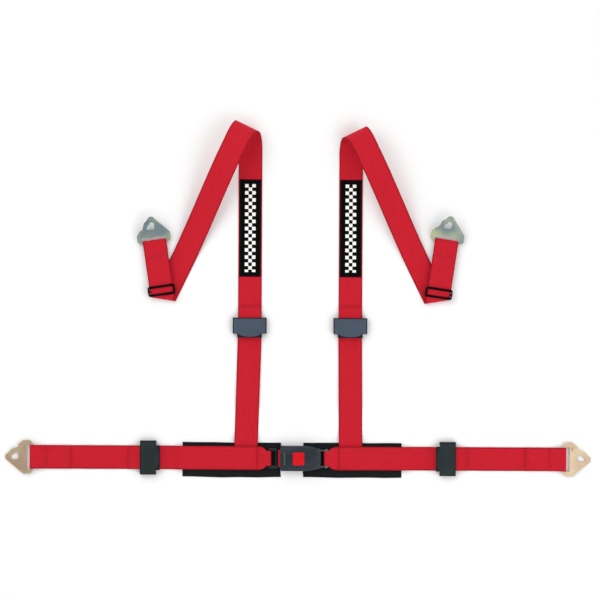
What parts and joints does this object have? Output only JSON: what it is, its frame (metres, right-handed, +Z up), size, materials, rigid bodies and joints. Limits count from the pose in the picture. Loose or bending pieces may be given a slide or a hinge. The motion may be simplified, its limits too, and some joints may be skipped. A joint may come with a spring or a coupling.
{
  "type": "racing harness",
  "caption": "Flat-lay webbing racing harness with a push-button buckle, sliding adjusters, folded shoulder straps, lap pads and snap hooks at the strap ends.",
  "frame": {"origin": "middle of the laid-out harness on the surface it lies on", "axes": "+X to the right along the lap belt, +Y along the shoulder straps away from the lap belt, +Z up"},
  "size_m": [1.246, 0.7515, 0.0543],
  "materials": {
    "webbing": "woven polyester",
    "pad_textile": "woven black",
    "patch_textile": "woven black",
    "shell_plastic": "fine texture",
    "adjuster_plastic": "fine texture",
    "red_plastic": "semi gloss",
    "black_plastic": "satin",
    "steel": "zinc plated",
    "spring_steel": "spring steel",
    "black_steel": "black coated",
    "tongue_chrome": "polished",
    "yellow_zinc": "yellow zinc plated",
    "green_zinc": "green zinc plated"
  },
  "bodies": {
    "buckle_side": {"buckle_base": "steel", "buckle_lower_shell": "shell_plastic", "buckle_cover": "shell_plastic", "mouth_insert": "red_plastic", "latch_leaf": "spring_steel", "latch_rivets": "steel", "ejector_spring": "spring_steel", "anchor_bar": "steel", "shell_screws": "steel", "lap_pad_right": "pad_textile", "belt_loop_right": "webbing", "lap_webbing_inner_right": "webbing", "shoulder_webbing_lower_right": "webbing"},
    "button": {"release_button": "red_plastic"},
    "ejector_block": {"ejector": "black_plastic"},
    "tongue_side": {"tongue": "tongue_chrome", "lap_pad_left": "pad_textile", "belt_loop_left": "webbing", "lap_webbing_inner_left": "webbing", "shoulder_webbing_lower_left": "webbing"},
    "lap_adjuster_left": {"lap_adjuster_frame_left": "steel", "lap_adjuster_cover_left": "adjuster_plastic", "lap_lock_bar_left": "steel"},
    "lap_strap_left": {"lap_webbing_outer_left": "webbing"},
    "lap_hook_left": {"lap_hook_plate_left": "yellow_zinc", "lap_hook_rivet_left": "yellow_zinc"},
    "lap_gate_left": {"lap_hook_gate_left": "yellow_zinc"},
    "shoulder_adjuster_left": {"shoulder_adjuster_frame_left": "steel", "shoulder_adjuster_cover_left": "adjuster_plastic", "shoulder_lock_bar_left": "steel"},
    "shoulder_strap_left": {"shoulder_webbing_upper_left": "webbing", "shoulder_patch_left": "patch_textile"},
    "shoulder_slide_left": {"three_bar_slide_left": "black_steel"},
    "shoulder_hook_left": {"shoulder_hook_plate_left": "green_zinc", "shoulder_hook_rivet_left": "green_zinc"},
    "shoulder_gate_left": {"shoulder_hook_gate_left": "green_zinc"},
    "lap_adjuster_right": {"lap_adjuster_frame_right": "steel", "lap_adjuster_cover_right": "adjuster_plastic", "lap_lock_bar_right": "steel"},
    "lap_strap_right": {"lap_webbing_outer_right": "webbing"},
    "lap_hook_right": {"lap_hook_plate_right": "yellow_zinc", "lap_hook_rivet_right": "yellow_zinc"},
    "lap_gate_right": {"lap_hook_gate_right": "yellow_zinc"},
    "shoulder_adjuster_right": {"shoulder_adjuster_frame_right": "steel", "shoulder_adjuster_cover_right": "adjuster_plastic", "shoulder_lock_bar_right": "steel"},
    "shoulder_strap_right": {"shoulder_webbing_upper_right": "webbing", "shoulder_patch_right": "patch_textile"},
    "shoulder_slide_right": {"three_bar_slide_right": "black_steel"},
    "shoulder_hook_right": {"shoulder_hook_plate_right": "green_zinc", "shoulder_hook_rivet_right": "green_zinc"},
    "shoulder_gate_right": {"shoulder_hook_gate_right": "green_zinc"}
  },
  "joints": [
    {"name": "button_press", "type": "slide", "parent": "buckle_side", "child": "button", "axis": [0, 0, -1], "range_m": [0, 0.002], "stiffness_N_per_m": 2000, "deforming": ["latch_leaf"]},
    {"name": "ejector_push", "type": "slide", "parent": "buckle_side", "child": "ejector_block", "axis": [-1, 0, 0], "range_m": [0, 0.006], "deforming": ["ejector_spring"]},
    {"name": "tongue_release", "type": "slide", "parent": "ejector_block", "child": "tongue_side", "axis": [-1, 0, 0], "range_m": [0, 0.06]},
    {"name": "lap_adjust_left", "type": "slide", "parent": "tongue_side", "child": "lap_adjuster_left", "axis": [-1, 0, 0], "range_m": [-0.03, 0.05], "deforming": ["lap_webbing_inner_left"]},
    {"name": "lap_strap_swing_left", "type": "hinge", "parent": "lap_adjuster_left", "child": "lap_strap_left", "pos_m": [-0.3325, -0.336, 0.00435], "axis": [0, 1, 0], "range_deg": [0, 25]},
    {"name": "lap_hook_swing_left", "type": "hinge", "parent": "lap_strap_left", "child": "lap_hook_left", "pos_m": [-0.566, -0.336, 0.00477], "axis": [0, 1, 0], "range_deg": [0, 90]},
    {"name": "lap_gate_open_left", "type": "hinge", "parent": "lap_hook_left", "child": "lap_gate_left", "pos_m": [-0.58697, -0.315, 0.00359], "axis": [-0.0558, 0, 0.9984], "range_deg": [0, 25], "stiffness_Nm_per_rad": 0.02},
    {"name": "shoulder_adjust_left", "type": "slide", "parent": "tongue_side", "child": "shoulder_adjuster_left", "axis": [0, 1, 0], "range_m": [-0.04, 0.04], "deforming": ["shoulder_webbing_lower_left"]},
    {"name": "shoulder_strap_swing_left", "type": "hinge", "parent": "shoulder_adjuster_left", "child": "shoulder_strap_left", "pos_m": [-0.104, -0.0405, 0.00435], "axis": [1, 0, 0], "range_deg": [0, 25]},
    {"name": "slide_travel_left", "type": "slide", "parent": "shoulder_strap_left", "child": "shoulder_slide_left", "axis": [-0.1478, 0.989, 0], "range_m": [0, 0.04]},
    {"name": "shoulder_hook_swing_left", "type": "hinge", "parent": "shoulder_strap_left", "child": "shoulder_hook_left", "pos_m": [-0.30698, 0.12228, 0.00579], "axis": [0.989, 0.1478, 0], "range_deg": [-20, 60]},
    {"name": "shoulder_gate_open_left", "type": "hinge", "parent": "shoulder_hook_left", "child": "shoulder_gate_left", "pos_m": [-0.33062, 0.13843, 0.01365], "axis": [-0.0554, 0.3705, -0.9272], "range_deg": [0, 25], "stiffness_Nm_per_rad": 0.02},
    {"name": "lap_adjust_right", "type": "slide", "parent": "buckle_side", "child": "lap_adjuster_right", "axis": [1, 0, 0], "range_m": [-0.03, 0.05], "deforming": ["lap_webbing_inner_right"]},
    {"name": "lap_strap_swing_right", "type": "hinge", "parent": "lap_adjuster_right", "child": "lap_strap_right", "pos_m": [0.3325, -0.336, 0.00435], "axis": [0, -1, 0], "range_deg": [0, 25]},
    {"name": "lap_hook_swing_right", "type": "hinge", "parent": "lap_strap_right", "child": "lap_hook_right", "pos_m": [0.566, -0.336, 0.00477], "axis": [0, -1, 0], "range_deg": [0, 90]},
    {"name": "lap_gate_open_right", "type": "hinge", "parent": "lap_hook_right", "child": "lap_gate_right", "pos_m": [0.58697, -0.315, 0.00359], "axis": [-0.0558, 0, -0.9984], "range_deg": [0, 25], "stiffness_Nm_per_rad": 0.02},
    {"name": "shoulder_adjust_right", "type": "slide", "parent": "buckle_side", "child": "shoulder_adjuster_right", "axis": [0, 1, 0], "range_m": [-0.04, 0.04], "deforming": ["shoulder_webbing_lower_right"]},
    {"name": "shoulder_strap_swing_right", "type": "hinge", "parent": "shoulder_adjuster_right", "child": "shoulder_strap_right", "pos_m": [0.11, -0.0405, 0.00435], "axis": [1, 0, 0], "range_deg": [0, 25]},
    {"name": "slide_travel_right", "type": "slide", "parent": "shoulder_strap_right", "child": "shoulder_slide_right", "axis": [0.1478, 0.989, 0], "range_m": [0, 0.04]},
    {"name": "shoulder_hook_swing_right", "type": "hinge", "parent": "shoulder_strap_right", "child": "shoulder_hook_right", "pos_m": [0.31376, 0.12619, 0.00579], "axis": [0.989, -0.1478, 0], "range_deg": [-20, 60]},
    {"name": "shoulder_gate_open_right", "type": "hinge", "parent": "shoulder_hook_right", "child": "shoulder_gate_right", "pos_m": [0.29587, 0.14855, 0.01365], "axis": [0.0554, 0.3705, -0.9272], "range_deg": [0, 25], "stiffness_Nm_per_rad": 0.02}
  ]
}
